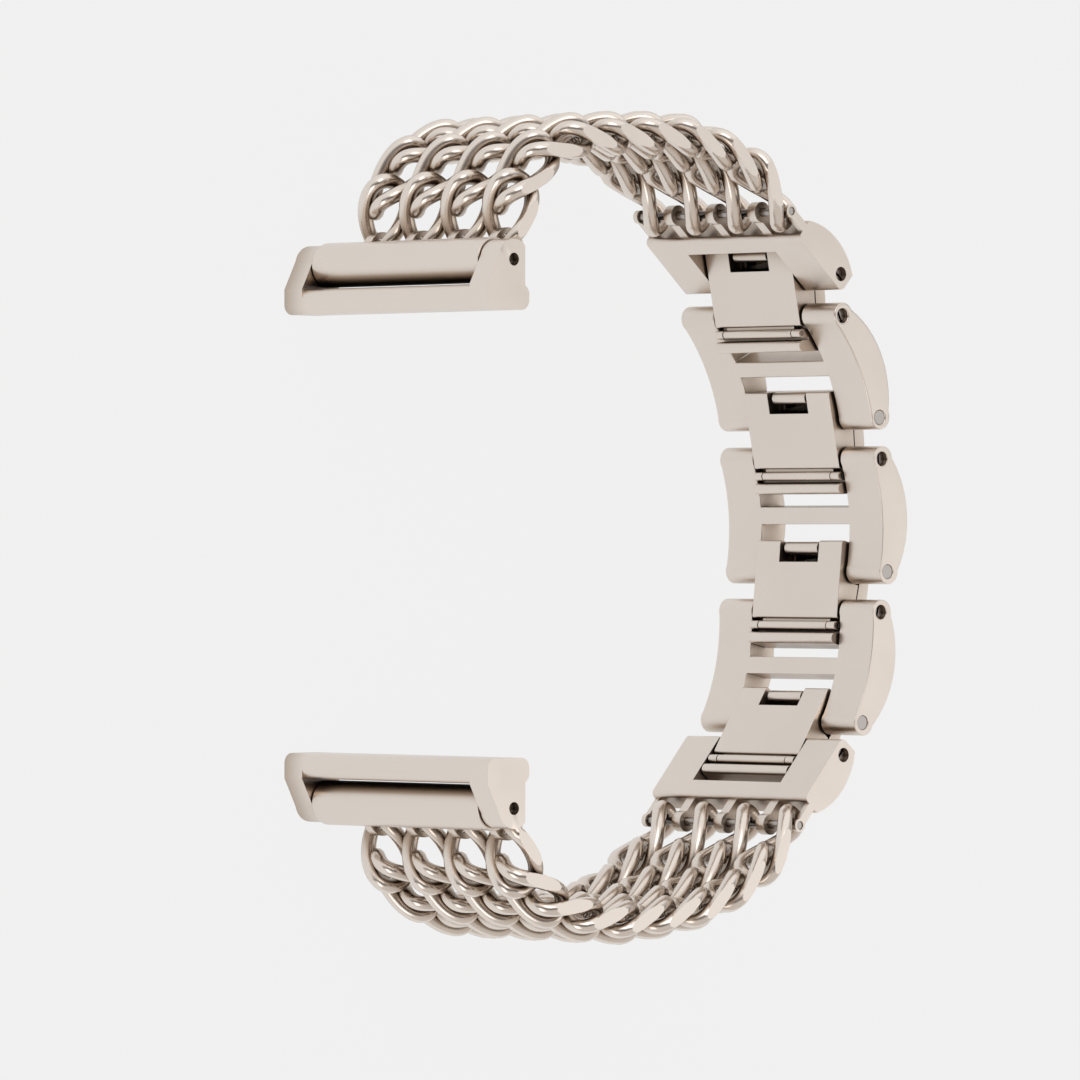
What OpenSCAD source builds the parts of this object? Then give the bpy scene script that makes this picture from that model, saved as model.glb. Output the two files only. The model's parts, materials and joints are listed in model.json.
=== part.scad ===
// Metal bracelet for a watch with slide-in strap slots.
// It lies on its side edge, with +Z across the bracelet towards the crown side,
// +X from the watch towards the clasp side of the wrist and +Y towards 12 o'clock.
// The bracelet is laid out as one path in the XY plane: from the upper ear pin, over the
// upper chain, down the clasp links and back along the lower chain to the lower ear pin.
// Every piece has a local frame: x along the path, y outwards from the wrist, z across.

/* [Loop at rest] */
// Heading of the end bar's eyes seen from the ear pin, in degrees
eye_heading = 18; // [0:1:40]
// Headings of the upper rows, first row at the watch
upper_rows = [83, 50, 22, 4, 2, -1, -13, -25, -48];
// Headings of the lower rows, mirrored, first row at the watch
lower_rows = [77, 37, 18, 5, -4, -8, -19, -31, -46];
// Headings of upper end frame, then centre links and H links in turn, then lower end frame
clasp_headings = [-42, -86, -63, -86, -86, -103, -103, -130, -131];

/* [Chain rings] */
// Wire diameter
wire_d = 1.13; // [0.9:0.01:1.2]
// Rings side by side in a row
columns = 4; // [2:1:4]
// Distance from row to row
row_pitch = 4.3; // [4.2:0.05:4.5]
// Distance from column to column
column_pitch = 5.3; // [5.2:0.05:5.4]
// Length of a ring's centre line
ring_l = 6.1; // [6:0.05:6.3]
// Width of the flat near loop's centre line
ring_w = 4.2; // [4:0.05:4.4]
// Half height of the upright far loop's centre line
ring_h = 1.72; // [1.6:0.01:1.8]
// Tilt of the near loop about the chain's length, in degrees
ring_tilt = 45; // [40:1:50]
// How far the far loop stands towards the crown side
ring_shift = 0.3; // [0.1:0.05:0.4]
// Where the next ring hooks in, ahead of a ring's centre
hook_ahead = 1.7; // [1.6:0.05:1.8]
// Steps along a ring
ring_steps = 18; // [16:1:24]
// Flats round the wire
ring_sides = 6; // [5:1:8]

/* [Adapter] */
// Width over the ears
adapter_w = 26; // [25.6:0.1:29]
// Thickness of an ear
ear_t = 2.3; // [1.5:0.1:2.8]
// Radius of an ear round its pin
ear_r = 1.7; // [1.4:0.05:1.85]
// Back of an ear behind the pin
ear_back = 1.25; // [1:0.05:1.4]
// Slide-in head, front of the pin
head_front = 2.9; // [2.5:0.1:3.2]
// Slide-in head, back of the pin
head_back = 1.7; // [1.5:0.1:1.9]
// Slide-in head, thickness
head_h = 2.15; // [1.9:0.05:2.4]
// Distance from the ear pin to the head's top
head_drop = 2.05; // [2:0.05:2.3]
// Ear pin diameter
ear_pin_d = 1.0; // [0.8:0.05:1.2]
// Play round the ear pin in the ears
ear_pin_play = 0.04; // [0.02:0.01:0.06]
// Depth of the ear pin's ends inside the ears
ear_pin_recess = 0.6; // [0.2:0.1:1]

/* [End bar] */
// Diameter of the round bar
bar_d = 3.8; // [3.2:0.1:3.9]
// Gap at each end of the bar
bar_gap = 0.1; // [0.05:0.01:0.2]
// Distance from the ear pin to the eyes
eye_reach = 3.7; // [3.6:0.05:4]
// Thickness of an eye
eye_t = 0.9; // [0.7:0.05:0.95]
// Play round the wire in an eye
eye_play = 0.64; // [0.62:0.01:0.7]
// Wall round an eye's hole
eye_wall = 0.5; // [0.4:0.05:0.55]

/* [Latch] */
// Width of the latch button
button_w = 6; // [5:0.1:8]
// Height of the latch button
button_h = 1.2; // [1:0.05:1.3]
// How far the button stands out
button_out = 0.6; // [0.4:0.05:0.8]
// How far the button can be pushed in
button_travel = 0.8; // [0.6:0.05:0.9]
// Length of the latch button
button_l = 2.6; // [2.4:0.05:2.8]
// Play round the latch button
button_play = 0.08; // [0.05:0.01:0.12]
// Front wall of the latch button
button_wall = 0.45; // [0.35:0.05:0.6]
// Thickness of the latch spring's strip
spring_t = 0.15; // [0.1:0.01:0.2]
// Play at each side of the latch spring
spring_play = 0.05; // [0.02:0.01:0.1]

/* [Links] */
// Width of an arm
arm_w = 4.2; // [3.6:0.1:4.3]
// Distance between the two pins of an H link
h_pitch = 9.8; // [9.4:0.1:11]
// Distance between the two pins of a centre link
centre_pitch = 3.6; // [3.5:0.05:4]
// Radius of an arm's round end
arm_end_r = 1.1; // [1.05:0.05:1.25]
// How far the round end's centre stands outside its pin
arm_end_out = 0.1; // [0:0.05:0.15]
// Depth of an arm on the wrist side at its middle
arm_in = 0.3; // [0.1:0.05:0.6]
// Depth of an arm on the outside at its middle
arm_crown = 2.7; // [2.3:0.05:2.8]
// Length of an H link's crossbar along the path
crossbar_l = 1.5; // [1.3:0.1:1.9]
// Depth of an H link's crossbar on the outside
crossbar_out = 2.0; // [1.2:0.05:2.2]
// Link pin diameter
pin_d = 1.2; // [1:0.05:1.3]
// Play round a pin where it is held
pin_seat = 0.02; // [0.01:0.005:0.04]
// Play round a pin where a link turns on it
pin_play = 0.07; // [0.04:0.01:0.1]
// Depth of the first pin's end in its arm
pin_recess = 0.5; // [0.2:0.05:0.8]
// Depth of the second pin's end in its arm
pin_flush = 0.1; // [0.05:0.05:0.3]
// Width of the split in a pin's end
pin_split = 0.22; // [0.15:0.01:0.3]
// Depth of the split in a pin's end
pin_split_l = 1.2; // [0.8:0.1:2]

/* [End frames] */
// Distance from the chain rod to the frame's link pin
frame_pitch = 7.9; // [7.8:0.1:9]
// Gap from the rod to the frame's crossbar
rod_gap = 2.1; // [2.05:0.05:2.4]
// Length of the frame's crossbar along the path
frame_bar_l = 1.7; // [1.4:0.1:1.9]
// Depth of the frame on the wrist side
frame_in = 1.1; // [1:0.05:1.3]
// Depth of the frame on the outside at the rod
frame_out = 0.85; // [0.7:0.05:1]
// Rounding of the frame's corners seen from the side
frame_round = 0.5; // [0.2:0.05:0.7]
// Depth of the frame on the outside at its middle
frame_crown = 1.9; // [1.5:0.05:2.2]
// Chain rod diameter
rod_d = 0.7; // [0.6:0.05:0.75]
// Where the rod runs, ahead of the last ring's centre
rod_ahead = 2.0; // [1.95:0.01:2.02]
// Radius of a lug round the chain rod
lug_r = 0.9; // [0.8:0.05:1]
// Width of a lug between two rings
lug_w = 1.0; // [0.6:0.1:1.1]
// How far the lugs sit from the middle between two rings, towards the crown side
lug_shift = 0.3; // [0.1:0.05:0.5]
// Width of a lug at the edge of the frame
edge_lug_w = 0.5; // [0.4:0.05:0.55]
// Radius of a lug at the edge of the frame
edge_lug_r = 0.58; // [0.55:0.01:0.6]

/* [Centre links] */
// Width of a centre link
centre_w = 10.7; // [10:0.1:12]
// Gap at each side of a centre link, between it and the arms
arm_gap = 0.2; // [0.1:0.05:0.3]
// Length of a centre link before its first pin
centre_before = 2.4; // [2.2:0.05:2.5]
// Length of a centre link past its second pin
centre_past = 3.0; // [2.95:0.05:3.1]
// Depth of the clip on the outside at its middle
clip_crown = 2.2; // [1.9:0.05:2.3]
// Depth of the clip on the outside at its ends
clip_out = 1.5; // [1.3:0.05:1.6]
// Depth of the snap cover on the wrist side at its notch
cover_in = 1.8; // [1.6:0.05:1.9]
// Depth of the snap cover on the wrist side at its hinge
cover_end_in = 1.0; // [0.95:0.05:1.1]
// Gap between the cover's plate and its knuckle
cover_gap = 0.25; // [0.15:0.05:0.3]
// Thickness of the cover's cheeks
cheek_t = 0.8; // [0.6:0.05:1]
// How far the cheeks reach towards the outside
cheek_out = 0.95; // [0.8:0.05:1]
// Extra length of the cheek's slot, which lets the cover swing off the first pin
cheek_swing = 0.35; // [0.3:0.05:0.5]
// Seam between clip and cover
cover_seam = 0.1; // [0.06:0.01:0.15]
// Distance from the second pin to the cover's hinge pin
hinge_past = 1.4; // [1.35:0.05:1.45]
// Depth of the cover's hinge pin on the wrist side
hinge_in = 0.8; // [0.75:0.05:0.85]
// Radius of the cover's knuckle
knuckle_r = 0.38; // [0.36:0.01:0.4]
// Hinge pin diameter
hinge_d = 0.4; // [0.35:0.01:0.45]
// Width of the clip's hinge ear
hinge_ear_w = 1.0; // [0.8:0.05:1.2]
// Radius of the clip's end roll
roll_r = 0.5; // [0.45:0.01:0.52]
// Width of the notch in the cover
notch_w = 4.9; // [4:0.1:6]
// Length of the notch in the cover
notch_l = 1.9; // [1.7:0.05:2]
// Width of the clip's tongue
tongue_w = 4.1; // [2.5:0.1:4.2]
// Radius of the tongue's rolled lip
tongue_r = 0.55; // [0.45:0.01:0.56]
// Depth of the hollow in the clip behind the tongue
catch_depth = 1.2; // [0.8:0.05:1.4]

/* [Hidden] */
steel = [0.86, 0.82, 0.78];
dark_steel = [0.62, 0.59, 0.56];
round_fn = 64;
rows = len(upper_rows);

// Width over the arms of an H link or a frame
link_w = centre_w + 2 * (arm_w + arm_gap);

// The path: length and heading of each stretch, and the points between them
first_row_l = ring_l / 2 + hook_ahead;
last_row_l = row_pitch - hook_ahead + rod_ahead;
row_lengths = [for (row = [1:rows]) row == 1 ? first_row_l : row == rows ? last_row_l : row_pitch];
path_lengths = concat(
    [eye_reach], row_lengths, [frame_pitch],
    [centre_pitch, h_pitch, centre_pitch, h_pitch, centre_pitch, h_pitch, centre_pitch],
    [frame_pitch], [for (row = [rows:-1:1]) row_lengths[row - 1]], [eye_reach]
);
path_headings = concat(
    [eye_heading], upper_rows, clasp_headings,
    [for (row = [rows:-1:1]) 180 - lower_rows[row - 1]], [180 - eye_heading]
);
function toward(heading) = [cos(heading), sin(heading)];
function path_point(i) =
    i == 0 ? [0, 0] : path_point(i - 1) + path_lengths[i - 1] * toward(path_headings[i - 1]);
frame_start = rows + 1;
frame_end = frame_start + 8;
path_end = len(path_lengths);

// A ring's centre line: the near loop lies flat, and the strands climb through a quarter
// turn to the far loop, which stands upright inside the next ring's near loop
function ring_curve(a) =
    let (far = (1 - cos(a)) / 2)
    let (along = ring_l * far - ring_l / 2 + 0.15 * (cos(3 * a) - cos(a)))
    let (twist = ring_tilt - (90 + ring_tilt) * far)
    let (side = sin(a) + 0.07 * sin(3 * a))
    [along, ring_h * side * sin(twist), ring_w / 2 * side * cos(twist) + ring_shift * far];
function unit(v) = v / norm(v);
function ring_section(a) =
    let (centre = ring_curve(a))
    let (along = unit(ring_curve(a + 1) - ring_curve(a - 1)))
    let (out = centre - [0, 0, ring_shift / 2])
    let (side = unit(out - (out * along) * along))
    let (up = cross(along, side))
    [for (s = [0:ring_sides - 1])
        let (b = 360 * s / ring_sides)
        centre + wire_d / 2 * (cos(b) * side + sin(b) * up)];
ring_points = [for (i = [0:ring_steps - 1]) each ring_section(360 * i / ring_steps)];
ring_faces = [for (i = [0:ring_steps - 1], s = [0:ring_sides - 1])
    let (a = i * ring_sides + s)
    let (b = i * ring_sides + (s + 1) % ring_sides)
    let (c = ((i + 1) % ring_steps) * ring_sides + s)
    let (d = ((i + 1) % ring_steps) * ring_sides + (s + 1) % ring_sides)
    each [[a, c, b], [b, c, d]]];

// Where a row's near hook is, its heading, and how far its rings' centre lies ahead
function row_start(half, row) = half > 0 ? path_point(row) : path_point(path_end - row);
function row_heading(half, row) = half > 0 ? upper_rows[row - 1] : lower_rows[row - 1];
function centre_ahead(row) = row == 1 ? ring_l / 2 : row_pitch - hook_ahead;
function ring_z(column) = (column - (columns - 1) / 2) * column_pitch;

// The box of the bracelet, from its outermost rings, heads and links
function turned(p, heading) = [p[0] * cos(heading) - p[1] * sin(heading), p[0] * sin(heading) + p[1] * cos(heading)];
function row_corners(half, row) = [for (p = ring_points)
    let (q = turned([p[0] + centre_ahead(row), p[1]], row_heading(half, row)))
    row_start(half, row) + [q[0], half * q[1]]];
h2_start = path_point(frame_start + 4);
h2_heading = path_headings[frame_start + 4];
function arc_r(chord, rise) = (pow(chord / 2, 2) + pow(rise, 2)) / (2 * rise);
arm_arc_r = arc_r(h_pitch, arm_crown - arm_end_out - arm_end_r);
h2_arc_centre = h2_start + turned([h_pitch / 2, arm_crown - arm_arc_r], h2_heading);
low_x = min(-head_front, path_point(path_end)[0] - head_front);
high_x = h2_arc_centre[0] + arm_arc_r;
high_y = max([for (row = [3:6], p = row_corners(1, row)) p[1]]);
low_y = min([for (row = [3:6], p = row_corners(-1, row)) p[1]]);
middle = [(low_x + high_x) / 2, (low_y + high_y) / 2, -adapter_w / 2];

// Puts a piece that is drawn about the bracelet's mid plane into the part's frame
module on_path(point, heading, half = 1) {
    translate([point[0] - middle[0], point[1] - middle[1], -middle[2]])
        mirror([0, half < 0 ? 1 : 0, 0])
            rotate(heading)
                children();
}

module at_ear(half) {
    on_path(half > 0 ? path_point(0) : path_point(path_end), 0, half) children();
}

// A flat outline with rounded corners, between two corners
module rounded_outline(x0, x1, y0, y1, r) {
    translate([x0 + r, y0]) square([x1 - x0 - 2 * r, y1 - y0]);
    translate([x0, y0 + r]) square([x1 - x0, y1 - y0 - 2 * r]);
    for (x = [x0 + r, x1 - r], y = [y0 + r, y1 - r])
        translate([x, y]) circle(r, $fn = round_fn);
}

// The side view of a plate: flat towards the wrist, a shallow arch on the outside
module arched_outline(x0, x1, inner, ends, crown, r) {
    arch_r = arc_r(x1 - x0, crown - ends);
    intersection() {
        rounded_outline(x0, x1, -inner, crown + r, r);
        translate([(x0 + x1) / 2, crown - arch_r]) circle(arch_r, $fn = 2 * round_fn);
    }
}

// The side view of an arm between two pins: hollow towards the wrist, arched on the outside,
// with a round end about each pin
module arm_outline(pitch) {
    hollow_r = arc_r(pitch, arm_end_r - arm_end_out - arm_in);
    for (x = [0, pitch])
        translate([x, arm_end_out]) circle(arm_end_r, $fn = round_fn);
    difference() {
        intersection() {
            translate([0, -arm_end_r]) square([pitch, arm_crown + arm_end_r]);
            translate([pitch / 2, arm_crown - arm_arc_r]) circle(arm_arc_r, $fn = 2 * round_fn);
        }
        translate([pitch / 2, -arm_in - hollow_r]) circle(hollow_r, $fn = 2 * round_fn);
    }
}

module across(width) {
    translate([0, 0, -width / 2]) linear_extrude(width) children();
}

module rod_at(x, y, d, width) {
    translate([x, y, -width / 2]) cylinder(d = d, h = width, $fn = round_fn);
}

module ear_outline() {
    intersection() {
        union() {
            circle(ear_r, $fn = round_fn);
            polygon([
                [-ear_r * 0.75, ear_r * 0.66],
                [-head_front, -head_drop],
                [-head_front, -head_drop - head_h / 2],
                [head_back, -head_drop - head_h / 2],
                [ear_back, -head_drop],
                [ear_back, 0],
                [0, 0]
            ]);
        }
        translate([-head_front, -head_drop - head_h]) square([head_front + ear_back, 2 * ear_r + head_drop + head_h]);
    }
}

// The slide-in head with its two ears and the pocket for the latch
module adapter(half) {
    color(steel) at_ear(half) difference() {
        union() {
            across(adapter_w)
                rounded_outline(-head_front, head_back, -head_drop - head_h, -head_drop, head_h * 0.4);
            for (side = [-1, 1])
                translate([0, 0, side * (adapter_w - ear_t) / 2]) across(ear_t) ear_outline();
        }
        rod_at(0, 0, ear_pin_d + 2 * ear_pin_play, 2 * adapter_w);
        latch_block(pocket_x, head_back + 1, button_w + 2 * button_play, button_play);
        latch_block(pocket_x, head_back - button_lip, button_w + 2 * flange_w + 2 * button_play, button_play);
    }
}

button_lip = 0.5;
flange_w = 0.3;
flange_l = 0.6;
pocket_y = -head_drop - head_h / 2;
button_top = head_back + button_out;
pocket_x = button_top - button_l - button_travel - 0.2;
flange_top = head_back - button_lip - button_play;

module latch_block(x0, x1, width, play) {
    translate([x0, pocket_y - button_h / 2 - play, -width / 2]) cube([x1 - x0, button_h + 2 * play, width]);
}

// The sprung button that holds the adapter in its slot, hollow over its spring
module latch_button(half) {
    color(steel) at_ear(half) difference() {
        union() {
            latch_block(button_top - button_l, button_top, button_w, 0);
            latch_block(flange_top - flange_l, flange_top, button_w + 2 * flange_w, 0);
        }
        translate([button_top - button_l - 1, pocket_y - button_h / 2 + button_wall / 2, -button_w / 2 + button_wall])
            cube([button_l + 1 - button_wall, button_h - button_wall, button_w - 2 * button_wall]);
    }
}

// A bowed strip between the pocket's floor and the button
module latch_spring(half) {
    span = button_w - 2 * button_wall - 0.4;
    strip_h = button_h - button_wall - 0.2;
    spring_bow = button_top - button_wall - button_travel - pocket_x - 2 * spring_play;
    bow_r = (pow(span / 2, 2) + pow(spring_bow, 2)) / (2 * spring_bow);
    color(dark_steel) at_ear(half)
        translate([pocket_x + spring_play, pocket_y - strip_h / 2, 0])
            rotate([-90, 0, 0]) linear_extrude(strip_h) intersection() {
                translate([spring_bow - bow_r, 0]) difference() {
                    circle(bow_r, $fn = round_fn);
                    circle(bow_r - spring_t, $fn = round_fn);
                }
                translate([0, -span / 2]) square([spring_bow, span]);
            }
}

module ear_pin(half) {
    color(dark_steel) at_ear(half) rod_at(0, 0, ear_pin_d, adapter_w - 2 * ear_pin_recess);
}

// The round bar between the ears, with an eye for each ring of the first row
module end_bar(half) {
    eye_r = wire_d / 2 + eye_play + eye_wall;
    color(steel) on_path(half > 0 ? path_point(0) : path_point(path_end), eye_heading, half) difference() {
        union() {
            rod_at(0, 0, bar_d, adapter_w - 2 * ear_t - 2 * bar_gap);
            for (column = [0:columns - 1])
                translate([0, 0, ring_z(column)]) across(eye_t) {
                    translate([0, -eye_r * 0.7]) square([eye_reach, eye_r * 1.4]);
                    translate([eye_reach, 0]) circle(eye_r, $fn = round_fn);
                }
        }
        rod_at(0, 0, ear_pin_d + 2 * pin_play, 2 * adapter_w);
        rod_at(eye_reach, 0, wire_d + 2 * eye_play, 2 * adapter_w);
    }
}

// One row of the chain: rings side by side, each a closed twisted wire
module chain_row(half, row) {
    color(steel) on_path(row_start(half, row), row_heading(half, row), half)
        for (column = [0:columns - 1])
            translate([centre_ahead(row), 0, ring_z(column)])
                polyhedron(ring_points, ring_faces);
}

function frame_point(half) = half > 0 ? path_point(frame_start) : path_point(frame_end + 1);
function frame_heading(half) = half > 0 ? path_headings[frame_start] : 180 - path_headings[frame_end];

// The U frame at the end of a chain: lugs round the chain rod, a crossbar and two arms
module end_frame(half) {
    window = link_w - 2 * arm_w;
    edge_z = (link_w - edge_lug_w) / 2;
    color(steel) on_path(frame_point(half), frame_heading(half), half) difference() {
        union() {
            for (side = [-1, 1])
                translate([0, 0, side * (link_w - arm_w) / 2]) across(arm_w) frame_outline();
            across(window + 1) intersection() {
                frame_outline();
                translate([rod_gap, -frame_in]) square([frame_bar_l, frame_in + frame_crown]);
            }
            for (column = [1:columns - 1])
                translate([0, 0, ring_z(column) - column_pitch / 2 + lug_shift]) across(lug_w) lug_outline(lug_r);
            for (side = [-1, 1])
                translate([0, 0, side * edge_z]) across(edge_lug_w) lug_outline(edge_lug_r);
        }
        rod_at(0, 0, rod_d + 2 * pin_seat, 2 * link_w);
        rod_at(frame_pitch, 0, pin_d + 2 * pin_seat, 2 * link_w);
    }
}

module frame_outline() {
    arched_outline(rod_gap, frame_pitch + arm_end_r, frame_in, frame_out, frame_crown, frame_round);
}

module lug_outline(r) {
    circle(r, $fn = round_fn);
    translate([0, -r * 0.7]) square([rod_gap + frame_round, r * 1.4]);
}

// The chain rod through the last row's far loops, and the frame's link pin
module frame_pins(half) {
    color(dark_steel) on_path(frame_point(half), frame_heading(half), half) {
        rod_at(0, 0, rod_d, link_w - 2 * pin_flush);
        translate([frame_pitch, 0, 0]) split_pin(link_w - 2 * pin_recess);
    }
}

// A link pin with a split at its crown-side end
module split_pin(length) {
    difference() {
        rod_at(0, 0, pin_d, length);
        translate([-pin_d, -pin_split / 2, length / 2 - pin_split_l]) cube([2 * pin_d, pin_split, pin_split_l + 1]);
    }
}

function h_index(n) = frame_start + 2 * n;
function centre_index(n) = frame_start + 2 * n - 1;

// An H link: two arms and a crossbar, with a pin hole at each end
module h_link(n) {
    color(steel) on_path(path_point(h_index(n)), path_headings[h_index(n)]) difference() {
        union() {
            for (side = [-1, 1])
                translate([0, 0, side * (link_w - arm_w) / 2]) across(arm_w) arm_outline(h_pitch);
            across(link_w - arm_w) intersection() {
                arm_outline(h_pitch);
                translate([(h_pitch - crossbar_l) / 2, -arm_end_r]) square([crossbar_l, arm_end_r + crossbar_out]);
            }
        }
        rod_at(0, 0, pin_d + 2 * pin_seat, 2 * link_w);
        rod_at(h_pitch, 0, pin_d + 2 * pin_seat, 2 * link_w);
    }
}

module h_link_pins(n) {
    color(dark_steel) on_path(path_point(h_index(n)), path_headings[h_index(n)]) {
        split_pin(link_w - 2 * pin_recess);
        translate([h_pitch, 0, 0]) rod_at(0, 0, pin_d, link_w - 2 * pin_flush);
    }
}

hinge_x = centre_pitch + hinge_past;
roll_x = centre_pitch + centre_past - roll_r;
roll_y = -hinge_in + 0.1;
clip_floor = -cover_seam / 2;
cover_top = -cover_seam * 1.5;
cover_end = hinge_x - knuckle_r - cover_gap;
cover_r = 0.25;
cheek_end = centre_pitch - pin_d / 2 - pin_play - 0.05;
hinge_play = 0.04;

module pin_grooves() {
    rod_at(0, 0, pin_d + 2 * pin_play, 2 * link_w);
    rod_at(centre_pitch, 0, pin_d + 2 * pin_play, 2 * link_w);
}

// The outer half of a centre link, with its hinge ears, end roll and snap tongue
module centre_clip(n) {
    ear_z = (centre_w - hinge_ear_w) / 2;
    color(steel) on_path(path_point(centre_index(n)), path_headings[centre_index(n)]) difference() {
        union() {
            across(centre_w) clip_outline(clip_floor);
            across(centre_w) {
                translate([roll_x, roll_y]) circle(roll_r, $fn = round_fn);
                translate([roll_x - roll_r, roll_y]) square([2 * roll_r, clip_out - roll_y - roll_r]);
            }
            for (side = [-1, 1])
                translate([0, 0, side * ear_z]) across(hinge_ear_w) {
                    translate([hinge_x, -hinge_in]) circle(knuckle_r, $fn = round_fn);
                    translate([hinge_x - knuckle_r, -hinge_in]) square([2 * knuckle_r, hinge_in + 0.5]);
                }
            across(tongue_w) {
                translate([-centre_before + tongue_r, -cover_in + tongue_r + 0.2]) circle(tongue_r, $fn = round_fn);
                translate([-centre_before, -cover_in + tongue_r + 0.2])
                    square([2 * tongue_r, cover_in - tongue_r + 0.3]);
            }
        }
        pin_grooves();
        rod_at(hinge_x, -hinge_in, hinge_d + 2 * pin_seat, 2 * centre_w);
        across(tongue_w) translate([2 * tongue_r - centre_before, clip_floor - 0.5])
            square([centre_before - 2 * tongue_r - pin_d / 2 - pin_play, catch_depth + 0.5 - clip_floor]);
        for (side = [-1, 1])
            translate([0, 0, side * (centre_w / 2 + 0.5 - cheek_t / 2 - cover_seam / 2)])
                across(cheek_t + cover_seam + 1)
                    translate([-centre_before - 1, clip_floor - 1])
                        square([centre_before + 1 + cheek_end + cover_seam, cheek_out + cover_seam + 1 - clip_floor]);
    }
}

module clip_outline(floor_y) {
    intersection() {
        arched_outline(-centre_before, centre_pitch + centre_past, cover_in, clip_out, clip_crown, roll_r);
        translate([-centre_before, floor_y]) square([centre_before + centre_pitch + centre_past, clip_crown + 1]);
    }
}

// The wrist side of a centre link, which swings open on its hinge pin
module snap_cover(n) {
    knuckle_w = centre_w - 2 * hinge_ear_w - 0.2;
    color(steel) on_path(path_point(centre_index(n)), path_headings[centre_index(n)]) difference() {
        union() {
            across(centre_w) cover_outline();
            for (side = [-1, 1])
                translate([0, 0, side * (centre_w - cheek_t) / 2]) across(cheek_t)
                    translate([-centre_before, -cover_end_in + cover_r])
                        square([centre_before + cheek_end, cover_end_in - cover_r + cheek_out]);
            across(knuckle_w) {
                translate([hinge_x, -hinge_in]) circle(knuckle_r, $fn = round_fn);
                translate([cover_end - 1, -hinge_in + knuckle_r / 3])
                    square([hinge_x - cover_end + 1, hinge_in - knuckle_r / 3 + cover_top]);
            }
        }
        pin_grooves();
        rod_at(hinge_x, -hinge_in, hinge_d + 2 * hinge_play, 2 * centre_w);
        translate([-centre_before - 1, -cover_in - 1, -notch_w / 2])
            cube([1 + notch_l, cover_in + 2, notch_w]);
        translate([-pin_d / 2 - pin_play, 0, -centre_w]) cube([pin_d + 2 * pin_play + cheek_swing, cheek_out + 1, 2 * centre_w]);
    }
}

// The cover's side view: its wrist face runs a little outwards from the notch to the hinge
module cover_outline() {
    front = [-centre_before + cover_r, -cover_in + cover_r];
    back = [cover_end - cover_r, -cover_end_in + cover_r];
    run = unit(back - front);
    below = cover_r * [run[1], -run[0]];
    for (corner = [front, back])
        translate(corner) circle(cover_r, $fn = round_fn);
    polygon([
        [-centre_before, cover_top], [-centre_before, front[1]], front + below,
        back + below, [cover_end, back[1]], [cover_end, cover_top]
    ]);
}

module cover_hinge_pin(n) {
    color(dark_steel) on_path(path_point(centre_index(n)), path_headings[centre_index(n)])
        rod_at(hinge_x, -hinge_in, hinge_d, centre_w);
}

adapter(1);  // upper_adapter
latch_button(1);  // upper_latch_button
latch_spring(1);  // upper_latch_spring
ear_pin(1);  // upper_ear_pin
end_bar(1);  // upper_end_bar
adapter(-1);  // lower_adapter
latch_button(-1);  // lower_latch_button
latch_spring(-1);  // lower_latch_spring
ear_pin(-1);  // lower_ear_pin
end_bar(-1);  // lower_end_bar
chain_row(1, 1);  // upper_chain_row_1
chain_row(1, 2);  // upper_chain_row_2
chain_row(1, 3);  // upper_chain_row_3
chain_row(1, 4);  // upper_chain_row_4
chain_row(1, 5);  // upper_chain_row_5
chain_row(1, 6);  // upper_chain_row_6
chain_row(1, 7);  // upper_chain_row_7
chain_row(1, 8);  // upper_chain_row_8
chain_row(1, 9);  // upper_chain_row_9
chain_row(-1, 1);  // lower_chain_row_1
chain_row(-1, 2);  // lower_chain_row_2
chain_row(-1, 3);  // lower_chain_row_3
chain_row(-1, 4);  // lower_chain_row_4
chain_row(-1, 5);  // lower_chain_row_5
chain_row(-1, 6);  // lower_chain_row_6
chain_row(-1, 7);  // lower_chain_row_7
chain_row(-1, 8);  // lower_chain_row_8
chain_row(-1, 9);  // lower_chain_row_9
end_frame(1);  // upper_end_frame
frame_pins(1);  // upper_frame_pins
end_frame(-1);  // lower_end_frame
frame_pins(-1);  // lower_frame_pins
h_link(1);  // h_link_1
h_link_pins(1);  // h_link_pins_1
h_link(2);  // h_link_2
h_link_pins(2);  // h_link_pins_2
h_link(3);  // h_link_3
h_link_pins(3);  // h_link_pins_3
centre_clip(1);  // centre_clip_1
snap_cover(1);  // snap_cover_1
cover_hinge_pin(1);  // cover_hinge_pin_1
centre_clip(2);  // centre_clip_2
snap_cover(2);  // snap_cover_2
cover_hinge_pin(2);  // cover_hinge_pin_2
centre_clip(3);  // centre_clip_3
snap_cover(3);  // snap_cover_3
cover_hinge_pin(3);  // cover_hinge_pin_3
centre_clip(4);  // centre_clip_4
snap_cover(4);  // snap_cover_4
cover_hinge_pin(4);  // cover_hinge_pin_4
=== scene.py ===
import json
import math

import bmesh
import bpy
from mathutils import Matrix, Vector


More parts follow.
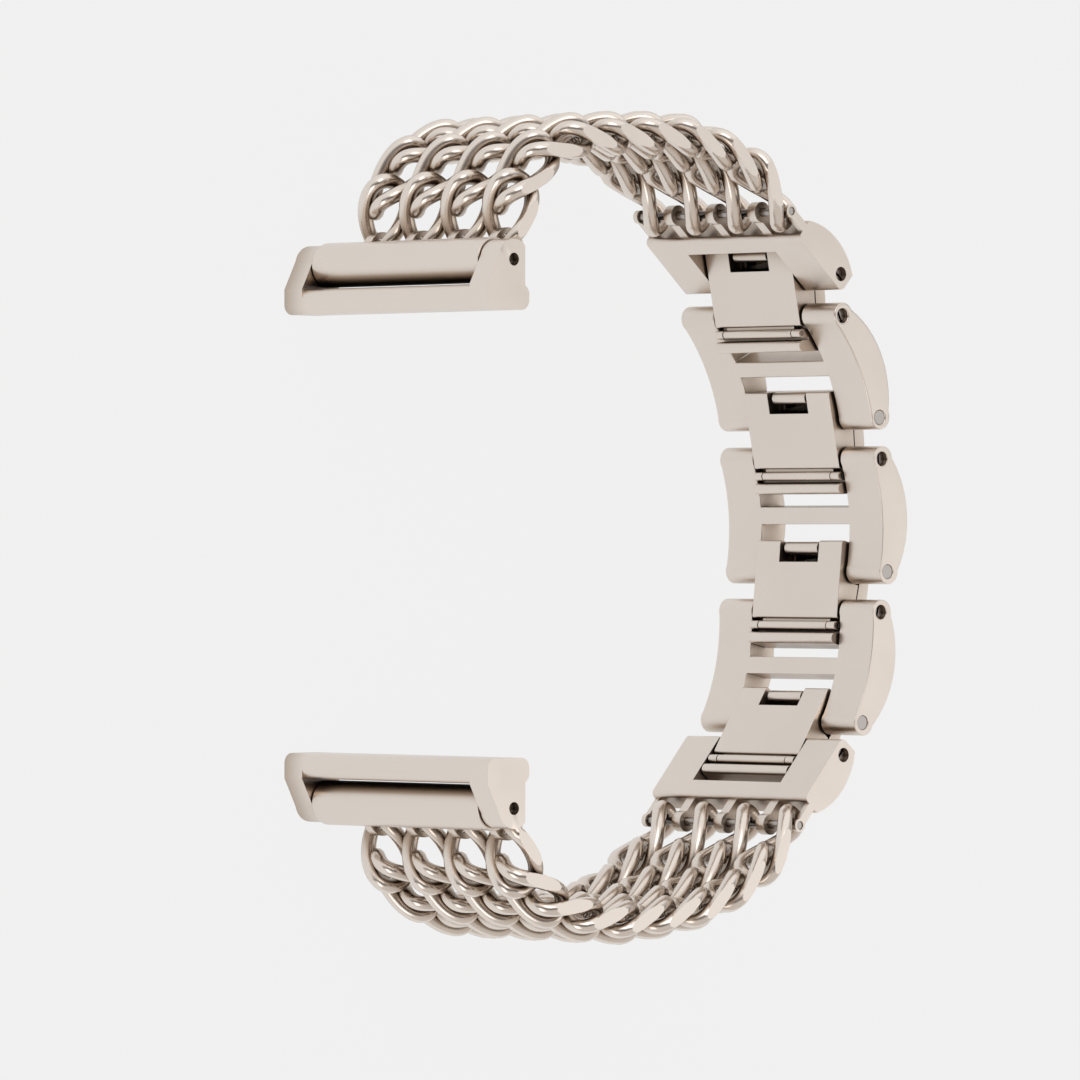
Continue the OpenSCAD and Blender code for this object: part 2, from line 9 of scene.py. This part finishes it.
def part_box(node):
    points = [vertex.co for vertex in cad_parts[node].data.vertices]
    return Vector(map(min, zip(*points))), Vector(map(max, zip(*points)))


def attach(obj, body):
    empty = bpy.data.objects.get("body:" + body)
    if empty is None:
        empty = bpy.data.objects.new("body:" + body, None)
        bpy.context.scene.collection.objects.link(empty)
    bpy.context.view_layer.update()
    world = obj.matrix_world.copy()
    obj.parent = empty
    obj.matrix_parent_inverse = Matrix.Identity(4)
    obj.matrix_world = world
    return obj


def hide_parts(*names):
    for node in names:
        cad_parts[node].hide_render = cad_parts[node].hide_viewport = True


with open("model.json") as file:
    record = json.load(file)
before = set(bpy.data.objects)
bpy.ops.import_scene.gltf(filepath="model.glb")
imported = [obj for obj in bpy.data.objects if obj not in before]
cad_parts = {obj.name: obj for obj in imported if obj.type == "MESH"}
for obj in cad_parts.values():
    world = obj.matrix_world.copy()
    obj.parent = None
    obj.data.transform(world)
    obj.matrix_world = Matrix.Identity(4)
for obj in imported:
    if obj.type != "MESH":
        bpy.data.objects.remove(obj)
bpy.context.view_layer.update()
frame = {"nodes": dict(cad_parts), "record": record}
nodes = frame["nodes"]
scene = bpy.context.scene
scene.view_settings.view_transform = "Standard"

# Camera
# The bracelet lies on its side edge, so the camera is rolled: the top of the picture is +Y.
# It looks at the wrist side of the clasp links, across the crown-side edge.
mm = 0.001
ear_pin_y = 22.8
upper_ear_pin = sum((Vector(c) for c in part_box("upper_ear_pin")), Vector()) / 2
mid = upper_ear_pin - Vector((0, ear_pin_y, 0)) * mm
view_right = Vector((0.743, 0, 0.669)).normalized()
view_up = Vector((0, 1, 0))
view_back = view_right.cross(view_up)
aim_right = 10.85
aim_down = 0.5
aim = mid + (aim_right * view_right - aim_down * view_up) * mm
camera_distance = 0.75
camera_data = bpy.data.cameras.new("camera")
camera_data.lens = 297.5
camera_data.sensor_width = 36
camera_data.clip_end = 20
camera = bpy.data.objects.new("camera", camera_data)
camera_turn = Matrix((view_right, view_up, view_back)).transposed().to_4x4()
camera.matrix_world = Matrix.Translation(aim + camera_distance * view_back) @ camera_turn
scene.collection.objects.link(camera)
scene.camera = camera


# Studio
# Three soft boxes stand round the bracelet. They point at it and light its rounded edges, and
# the one on the watch side is the strongest.
def soft_box(name, place, size, watts):
    data = bpy.data.lights.new(name, "AREA")
    data.shape = "RECTANGLE"
    data.size = size[0]
    data.size_y = size[1]
    data.energy = watts
    lamp = bpy.data.objects.new(name, data)
    lamp.location = Vector(place)
    lamp.rotation_euler = Vector(place).to_track_quat("Z", "Y").to_euler()
    scene.collection.objects.link(lamp)


soft_box("key_box", (-0.45, 0.55, 0.75), (0.5, 0.5), 1.1)
soft_box("fill_box", (-0.8, -0.35, 0.35), (0.6, 0.35), 0.8)
soft_box("edge_box", (0.6, -0.1, 0.7), (0.5, 0.7), 0.8)

# Room
# The metal mirrors the room: bright towards 12 o'clock, warm grey towards 6 o'clock and dark
# between them, with slow uneven changes as walls and cloths give.
room = bpy.data.worlds.new("studio_room")
scene.world = room
room.use_nodes = True
room_tree = room.node_tree
room_tree.nodes.clear()
room_out = room_tree.nodes.new("ShaderNodeOutputWorld")
room_light = room_tree.nodes.new("ShaderNodeBackground")
room_tones = room_tree.nodes.new("ShaderNodeValToRGB")
room_split = room_tree.nodes.new("ShaderNodeSeparateXYZ")
room_direction = room_tree.nodes.new("ShaderNodeTexCoord")
room_clouds = room_tree.nodes.new("ShaderNodeTexNoise")
room_height = room_tree.nodes.new("ShaderNodeMath")
room_clouds.inputs["Scale"].default_value = 1.6
room_clouds.inputs["Detail"].default_value = 1.0
room_height.operation = "MULTIPLY_ADD"
room_height.inputs[1].default_value = 0.5
room_light.inputs["Strength"].default_value = 1.0
grey_side, pale_side = room_tones.color_ramp.elements
grey_side.position = 0.0
grey_side.color = (0.62, 0.58, 0.55, 1)
pale_side.position = 0.9
pale_side.color = (0.95, 0.93, 0.92, 1)
dark_middle = room_tones.color_ramp.elements.new(0.28)
dark_middle.color = (0.10, 0.085, 0.075, 1)
room_tree.links.new(room_direction.outputs["Generated"], room_clouds.inputs["Vector"])
room_tree.links.new(room_direction.outputs["Generated"], room_split.inputs[0])
room_tree.links.new(room_clouds.outputs["Fac"], room_height.inputs[0])
room_tree.links.new(room_split.outputs["Y"], room_height.inputs[2])
room_tree.links.new(room_height.outputs[0], room_tones.inputs["Fac"])
room_tree.links.new(room_tones.outputs["Color"], room_light.inputs["Color"])
room_tree.links.new(room_light.outputs[0], room_out.inputs["Surface"])

# Pale sweep
# The floor is matt and takes the bracelet's shadow. The camera sees it nearly as a plain pale
# tone, the metal mirrors that tone in part, and the rest of both is the lit floor.
sweep_mirrored = 0.8
sweep_plain = 0.97
sweep_half_side = 3.0
sweep_finish = bpy.data.materials.new("pale_sweep")
sweep_finish.use_nodes = True
sweep_tree = sweep_finish.node_tree
sweep_tree.nodes.clear()
sweep_out = sweep_tree.nodes.new("ShaderNodeOutputMaterial")
ray = sweep_tree.nodes.new("ShaderNodeLightPath")
plain_tone = sweep_tree.nodes.new("ShaderNodeEmission")
plain_tone.inputs["Color"].default_value = (0.885, 0.885, 0.885, 1)
lit_floor = sweep_tree.nodes.new("ShaderNodeBsdfDiffuse")
lit_floor.inputs["Color"].default_value = (0.8, 0.8, 0.8, 1)
mirrored = sweep_tree.nodes.new("ShaderNodeMath")
mirrored.operation = "MULTIPLY"
mirrored.inputs[1].default_value = sweep_mirrored
seen = sweep_tree.nodes.new("ShaderNodeMath")
seen.operation = "MAXIMUM"
plain_share = sweep_tree.nodes.new("ShaderNodeMath")
plain_share.operation = "MULTIPLY"
plain_share.inputs[1].default_value = sweep_plain
sweep_mix = sweep_tree.nodes.new("ShaderNodeMixShader")
sweep_tree.links.new(ray.outputs["Is Glossy Ray"], mirrored.inputs[0])
sweep_tree.links.new(ray.outputs["Is Camera Ray"], seen.inputs[0])
sweep_tree.links.new(mirrored.outputs[0], seen.inputs[1])
sweep_tree.links.new(seen.outputs[0], plain_share.inputs[0])
sweep_tree.links.new(plain_share.outputs[0], sweep_mix.inputs["Fac"])
sweep_tree.links.new(lit_floor.outputs[0], sweep_mix.inputs[1])
sweep_tree.links.new(plain_tone.outputs[0], sweep_mix.inputs[2])
sweep_tree.links.new(sweep_mix.outputs[0], sweep_out.inputs["Surface"])
bm = bmesh.new()
bmesh.ops.create_grid(bm, x_segments=1, y_segments=1, size=sweep_half_side)
sweep_mesh = bpy.data.meshes.new("sweep")
bm.to_mesh(sweep_mesh)
bm.free()
sweep_mesh.materials.append(sweep_finish)
sweep = bpy.data.objects.new("sweep", sweep_mesh)
scene.collection.objects.link(sweep)


# Chain rows
# Each ring is one drawn steel wire, bent to a long loop, given a quarter twist, closed, hooked
# through the ring before it, and ground where its strands stand proud. Sizes are millimetres.
def polished_steel(name, colour, roughness, grain, grain_axis=(1, 1, 1)):
    """Stainless steel with a faint grain and uneven polish, with painted shade that darkens its
    colour where it lies in gaps.
    """
    grain_scale = 900
    grain_depth = 0.00002
    cloud_scale = 260
    smoothest = 0.75
    roughest = 1.35
    # Painted shade: how far the occlusion looks, and how dark the colour is painted in gaps and
    # beside them.
    gap_reach = 0.004
    gap_shade_painted = 0.22
    beside_gap_shade_painted = 0.75
    finish = bpy.data.materials.new(name)
    finish.use_nodes = True
    tree = finish.node_tree
    steel = tree.nodes["Principled BSDF"]
    steel.inputs["Metallic"].default_value = 1.0
    where = tree.nodes.new("ShaderNodeTexCoord")
    stretch = tree.nodes.new("ShaderNodeMapping")
    stretch.inputs["Scale"].default_value = tuple(grain_scale * a for a in grain_axis)
    lines = tree.nodes.new("ShaderNodeTexNoise")
    lines.inputs["Scale"].default_value = 1.0
    lines.inputs["Detail"].default_value = 4.0
    bump = tree.nodes.new("ShaderNodeBump")
    bump.inputs["Strength"].default_value = grain
    bump.inputs["Distance"].default_value = grain_depth
    tree.links.new(where.outputs["Object"], stretch.inputs["Vector"])
    tree.links.new(stretch.outputs[0], lines.inputs["Vector"])
    tree.links.new(lines.outputs["Fac"], bump.inputs["Height"])
    tree.links.new(bump.outputs[0], steel.inputs["Normal"])
    clouds = tree.nodes.new("ShaderNodeTexNoise")
    clouds.inputs["Scale"].default_value = cloud_scale
    polish = tree.nodes.new("ShaderNodeMapRange")
    polish.inputs["To Min"].default_value = roughness * smoothest
    polish.inputs["To Max"].default_value = roughness * roughest
    tree.links.new(where.outputs["Object"], clouds.inputs["Vector"])
    tree.links.new(clouds.outputs["Fac"], polish.inputs["Value"])
    tree.links.new(polish.outputs[0], steel.inputs["Roughness"])
    # Painted shade: an ambient occlusion mask darkens the base colour in gaps, crevices and between
    # parts.
    painted_shade_mask = tree.nodes.new("ShaderNodeAmbientOcclusion")
    painted_shade_mask.inputs["Distance"].default_value = gap_reach
    painted_shade_mask.samples = 8
    tones = tree.nodes.new("ShaderNodeValToRGB")
    painted_shade_stop, in_open = tones.color_ramp.elements
    painted_shade_stop.position = 0.12
    painted_shade_stop.color = (*(gap_shade_painted * c * c for c in colour), 1)
    in_open.position = 0.85
    in_open.color = (*colour, 1)
    painted_half_shade_stop = tones.color_ramp.elements.new(0.5)
    painted_half_shade_stop.color = (*(beside_gap_shade_painted * c * c for c in colour), 1)
    tree.links.new(painted_shade_mask.outputs["AO"], tones.inputs["Fac"])
    tree.links.new(tones.outputs[0], steel.inputs["Base Color"])
    return finish


champagne = (0.86, 0.785, 0.715)
ring_steel = polished_steel("ring_steel", champagne, 0.2, 0.15)

ring_l = 6.1
ring_w = 4.2
ring_h = 1.72
ring_tilt = 45
ring_shift = 0.3
ring_wire = 1.3
ring_stations = 72
near_loop_longer = 1.1
loop_squareness = 0.15
side_fullness = 0.07
columns = 4
column_pitch = 5.3


def ring_point(a, longer):
    """A point on a ring's centre line, a in radians from the middle of its near loop."""
    far = (1 - math.cos(a)) / 2
    square = loop_squareness * (math.cos(3 * a) - math.cos(a))
    along = (ring_l + longer) * far - ring_l / 2 - longer + square
    twist = math.radians(ring_tilt - (90 + ring_tilt) * far)
    side = math.sin(a) + side_fullness * math.sin(3 * a)
    outward = ring_h * side * math.sin(twist)
    across = ring_w / 2 * side * math.cos(twist) + ring_shift * far
    return Vector((along, outward, across))


def round_ring(longer):
    """A closed ring of round wire, its near loop reaching further back by longer."""
    wire = bpy.data.curves.new("ring_wire", "CURVE")
    wire.dimensions = "3D"
    wire.bevel_depth = ring_wire / 2
    wire.bevel_resolution = 4
    loop = wire.splines.new("POLY")
    loop.points.add(ring_stations - 1)
    for i, point in enumerate(loop.points):
        point.co = (*ring_point(math.tau * i / ring_stations, longer), 1)
    loop.use_cyclic_u = True
    bent = bpy.data.objects.new("ring_wire", wire)
    scene.collection.objects.link(bent)
    bpy.context.view_layer.update()
    swept = bent.evaluated_get(bpy.context.evaluated_depsgraph_get())
    mesh = bpy.data.meshes.new_from_object(swept)
    bpy.data.objects.remove(bent)
    return mesh


def ground_ring(longer, flats):
    """The round ring with flats ground on it; each flat is a point and a direction."""
    bm = bmesh.new()
    bm.from_mesh(round_ring(longer))
    bmesh.ops.remove_doubles(bm, verts=bm.verts, dist=1e-4)
    for face in bm.faces:
        face.smooth = True
    for point, direction in flats:
        everything = bm.verts[:] + bm.edges[:] + bm.faces[:]
        cut = bmesh.ops.bisect_plane(
            bm, geom=everything, plane_co=point, plane_no=direction, clear_outer=True
        )
        rims = [e for e in cut["geom_cut"] if isinstance(e, bmesh.types.BMEdge)]
        filled = bmesh.ops.holes_fill(bm, edges=rims, sides=0)
        for face in filled["faces"]:
            face.smooth = False
        for edge in rims:
            edge.smooth = False
    bmesh.ops.recalc_face_normals(bm, faces=bm.faces)
    mesh = bpy.data.meshes.new("ground_ring")
    bm.to_mesh(mesh)
    bm.free()
    return mesh


# Flats of the rings
# Every ring is ground on its outside and its wrist side, and the rings of the column at the
# crown side also on the bracelet's edge. Only the first row's near loops are short.
outer_flat = ((0, 1.9, 0), (0, 1, 0))
wrist_flat = ((0, -1.9, 0), (0, -1, 0))
edge_flat = ((0, 0, 2.3), (0, 0, 1))


def rings_of_row(longer):
    inner_column = ground_ring(longer, [outer_flat, wrist_flat])
    edge_column = ground_ring(longer, [outer_flat, wrist_flat, edge_flat])
    return (columns - 1) * [inner_column] + [edge_column]


first_rings = rings_of_row(0)
later_rings = rings_of_row(near_loop_longer)

# Places of the rows
# The rows follow one path round the wrist, from the upper ear pin along the upper chain, down
# the clasp links and back along the lower chain: a length and a heading for each stretch.
eye_heading = 18
upper_rows = [83, 50, 22, 4, 2, -1, -13, -25, -48]
lower_rows = [77, 37, 18, 5, -4, -8, -19, -31, -46]
clasp_headings = [-42, -86, -63, -86, -86, -103, -103, -130, -131]
row_count = len(upper_rows)
eye_reach = 3.7
row_pitch = 4.3
hook_ahead = 1.7
rod_ahead = 2.0
frame_pitch = 7.9
centre_pitch = 3.6
h_pitch = 9.8
first_row_l = ring_l / 2 + hook_ahead
last_row_l = row_pitch - hook_ahead + rod_ahead
row_lengths = [first_row_l] + (row_count - 2) * [row_pitch] + [last_row_l]
clasp_lengths = [frame_pitch] + 3 * [centre_pitch, h_pitch] + [centre_pitch, frame_pitch]
lengths = [eye_reach] + row_lengths + clasp_lengths + row_lengths[::-1] + [eye_reach]
lower_headings = [180 - h for h in lower_rows[::-1]]
headings = [eye_heading] + upper_rows + clasp_headings + lower_headings + [180 - eye_heading]
path = [Vector((0, ear_pin_y, 0))]
for length, heading in zip(lengths, headings):
    step = Vector((math.cos(math.radians(heading)), math.sin(math.radians(heading)), 0))
    path.append(path[-1] + length * step)


def on_path(point, heading, half):
    """Turns a piece drawn in millimetres to its heading, and puts it at a point of the path."""
    flip = Matrix.Scale(-1, 4, (0, 1, 0)) if half < 0 else Matrix.Identity(4)
    spin = Matrix.Rotation(math.radians(heading), 4, "Z")
    return Matrix.Translation(mid) @ Matrix.Scale(mm, 4) @ Matrix.Translation(point) @ flip @ spin


def chain_row(half, row):
    """One row of four rings; half is 1 for the upper chain and -1 for the lower one."""
    name = "upper" if half > 0 else "lower"
    start = path[row] if half > 0 else path[-1 - row]
    heading = (upper_rows if half > 0 else lower_rows)[row - 1]
    ahead = ring_l / 2 if row == 1 else row_pitch - hook_ahead
    place = on_path(start, heading, half)
    bm = bmesh.new()
    for column, ring in enumerate(first_rings if row == 1 else later_rings):
        before = len(bm.verts)
        bm.from_mesh(ring)
        bm.verts.ensure_lookup_table()
        shift = Matrix.Translation((ahead, 0, (column - (columns - 1) / 2) * column_pitch))
        bmesh.ops.transform(bm, matrix=place @ shift, verts=bm.verts[before:])
    if half < 0:
        bmesh.ops.reverse_faces(bm, faces=bm.faces)
    mesh = bpy.data.meshes.new(f"{name}_rings_{row}")
    bm.to_mesh(mesh)
    bm.free()
    mesh.materials.append(ring_steel)
    rings = bpy.data.objects.new(f"{name}_rings_{row}", mesh)
    scene.collection.objects.link(rings)
    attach(rings, f"{name}_row_{row}")
    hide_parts(f"{name}_chain_row_{row}")


for row in range(1, row_count + 1):
    chain_row(1, row)
    chain_row(-1, row)

# Adapters and end bars
# The adapter is one machined piece of steel, a slide-in head with two ears. The end bar turns
# on the ear pin between the ears, and its eyes hold the first rings. Both have eased edges.
link_steel = polished_steel("link_steel", champagne, 0.3, 0.2, (0.25, 0.25, 3))
bodies = frame["record"]["behaviour"]["bodies"]
body_of = {node: body for body, held in bodies.items() for node in held}
adapter_rounding = 0.15
end_bar_rounding = 0.12


def eased(node, rounding):
    """A copy of a CAD piece in polished steel, its loose triangles joined and its edges rounded."""
    sharp_angle = math.radians(30)
    flat_angle = math.radians(0.5)
    mesh = nodes[node].data.copy()
    bm = bmesh.new()
    bm.from_mesh(mesh)
    bmesh.ops.remove_doubles(bm, verts=bm.verts, dist=2e-6)
    bmesh.ops.dissolve_limit(
        bm, angle_limit=flat_angle, verts=bm.verts, edges=bm.edges, delimit=set()
    )
    for face in bm.faces:
        face.smooth = True
    joined = [e for e in bm.edges if len(e.link_faces) == 2]
    sharp = [e for e in joined if e.calc_face_angle(0) > sharp_angle]
    bmesh.ops.bevel(
        bm, geom=sharp, offset=rounding * mm, offset_type="OFFSET", affect="EDGES", segments=3,
        profile=0.5, material=-1, clamp_overlap=True, harden_normals=False, loop_slide=True
    )
    for face in bm.faces:
        face.smooth = True
    bm.to_mesh(mesh)
    bm.free()
    mesh.materials.clear()
    mesh.materials.append(link_steel)
    piece = bpy.data.objects.new(node + "_polished", mesh)
    scene.collection.objects.link(piece)
    even = piece.modifiers.new("even_shading", "WEIGHTED_NORMAL")
    even.mode = "FACE_AREA"
    even.weight = 100
    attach(piece, body_of[node])
    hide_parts(node)


for end in ["upper", "lower"]:
    eased(f"{end}_adapter", adapter_rounding)
    eased(f"{end}_end_bar", end_bar_rounding)

# End frames and H links
# These are cast in steel and polished all over, which rounds their edges most. Link pins run
# through their arms, and lugs on the frames hold the rod of the last row of rings.
link_rounding = 0.22
for node in ["upper_end_frame", "lower_end_frame", "h_link_1", "h_link_2", "h_link_3"]:
    eased(node, link_rounding)

# Centre links
# Each is two pieces of formed sheet steel: an outer clip, and a snap cover on the wrist side
# that swings on a thin pin and catches on the clip's tongue. Their edges are only deburred.
centre_rounding = 0.06
centre_count = 4
for n in range(1, centre_count + 1):
    eased(f"centre_clip_{n}", centre_rounding)
    eased(f"snap_cover_{n}", centre_rounding)

# Pins and latches
# Drawn pins, the chain rods, and the latch buttons with their leaf springs keep the shapes of
# the CAD model. They are turned or drawn steel, left darker and less polished.
pin_steel = polished_steel("pin_steel", (0.55, 0.52, 0.50), 0.25, 0.3)
pins = [f"h_link_pins_{n}" for n in range(1, 4)]
pins += [f"cover_hinge_pin_{n}" for n in range(1, centre_count + 1)]
for end in ["upper", "lower"]:
    pins += [f"{end}_{kind}" for kind in ["latch_button", "latch_spring", "ear_pin", "frame_pins"]]
for node in pins:
    nodes[node].data.materials.clear()
    nodes[node].data.materials.append(pin_steel)
